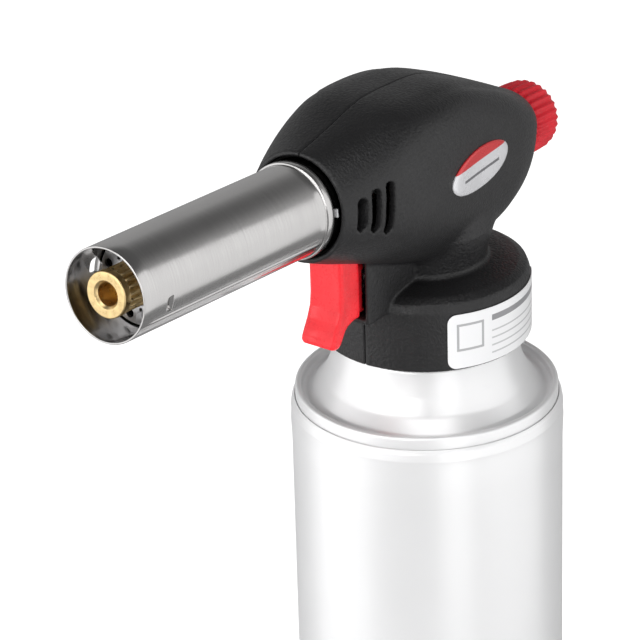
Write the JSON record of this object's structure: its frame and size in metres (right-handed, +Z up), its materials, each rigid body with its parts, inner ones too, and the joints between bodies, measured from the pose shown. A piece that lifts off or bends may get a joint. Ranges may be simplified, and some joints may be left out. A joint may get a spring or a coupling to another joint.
{
  "type": "gas torch",
  "caption": "Handheld blowtorch head with piezo trigger and flame knob, locked onto an upright disposable gas cartridge.",
  "frame": {"origin": "the middle of the whole outline in X and Y, on the surface that the cartridge stands on", "axes": "+Z up along the cartridge, -Y towards the nozzle, +Y towards the knob, +X towards the side with the badge"},
  "size_m": [0.0666, 0.1652, 0.2483],
  "materials": {
    "can_silver": "pearly white-silver lacquered metal",
    "tinplate": "bright tinplate",
    "acetal": "natural acetal",
    "rubber": "matt black rubber",
    "steel": "zinc-plated steel",
    "body_black": "fine-textured black moulding",
    "stainless": "brushed stainless steel",
    "brass": "turned brass",
    "ceramic": "unglazed ceramic",
    "knob_crimson": "satin crimson moulding",
    "trigger_red": "smooth bright red moulding",
    "piezo_black": "plain black moulding",
    "label_white": "pale film label",
    "badge_silver": "silver film with a red band"
  },
  "bodies": {
    "cartridge": {"can_body": "can_silver", "can_top_dome": "can_silver", "can_base": "can_silver", "valve_cup": "tinplate", "valve_housing": "acetal", "valve_seal": "rubber", "valve_stem": "acetal", "valve_spring": "steel", "vapour_tube": "acetal"},
    "torch_head": {"body_shell_right": "body_black", "body_shell_left": "body_black", "shell_screw_1": "steel", "shell_screw_2": "steel", "shell_screw_3": "steel", "shell_screw_4": "steel", "flame_tube": "stainless", "burner_nozzle": "brass", "mixing_tube": "brass", "flame_holder": "stainless", "tube_baffle": "steel", "tube_clamp": "steel", "electrode_insulator": "ceramic", "electrode": "steel", "valve_body": "brass", "inlet_seal": "rubber", "gas_jet": "brass", "spindle_oring": "rubber", "gland_nut": "brass", "piezo_igniter": "piezo_black", "trigger_spring": "steel", "ignition_lead": "rubber", "bayonet_plate": "steel", "plate_screw_1": "steel", "plate_screw_2": "steel", "collar_label": "label_white", "side_badge": "badge_silver"},
    "flame_knob": {"knob": "knob_crimson"},
    "needle": {"needle_spindle": "brass"},
    "trigger_button": {"trigger": "trigger_red", "piezo_plunger": "acetal"}
  },
  "joints": [
    {"name": "bayonet_twist", "type": "hinge", "parent": "cartridge", "child": "torch_head", "pos_m": [0, 0.03584, 0.1805], "axis": [0, 0, 1], "range_deg": [0, 35]},
    {"name": "knob_turn", "type": "hinge", "parent": "torch_head", "child": "flame_knob", "pos_m": [0, 0.03559, 0.22321], "axis": [0, 0.9969, -0.0785], "range_deg": [0, 540]},
    {"name": "needle_travel", "type": "slide", "parent": "flame_knob", "child": "needle", "axis": [0, 0.9969, -0.0785], "range_m": [0, 0.00104]},
    {"name": "trigger_press", "type": "slide", "parent": "torch_head", "child": "trigger_button", "axis": [0, 1, 0], "range_m": [0, 0.0045], "stiffness_N_per_m": 900, "springref_m": -0.004, "deforming": ["trigger_spring"]}
  ],
  "couplings": [
    {"joint": "knob_turn", "follows": "needle_travel", "rad_per_m": 9090.9}
  ]
}
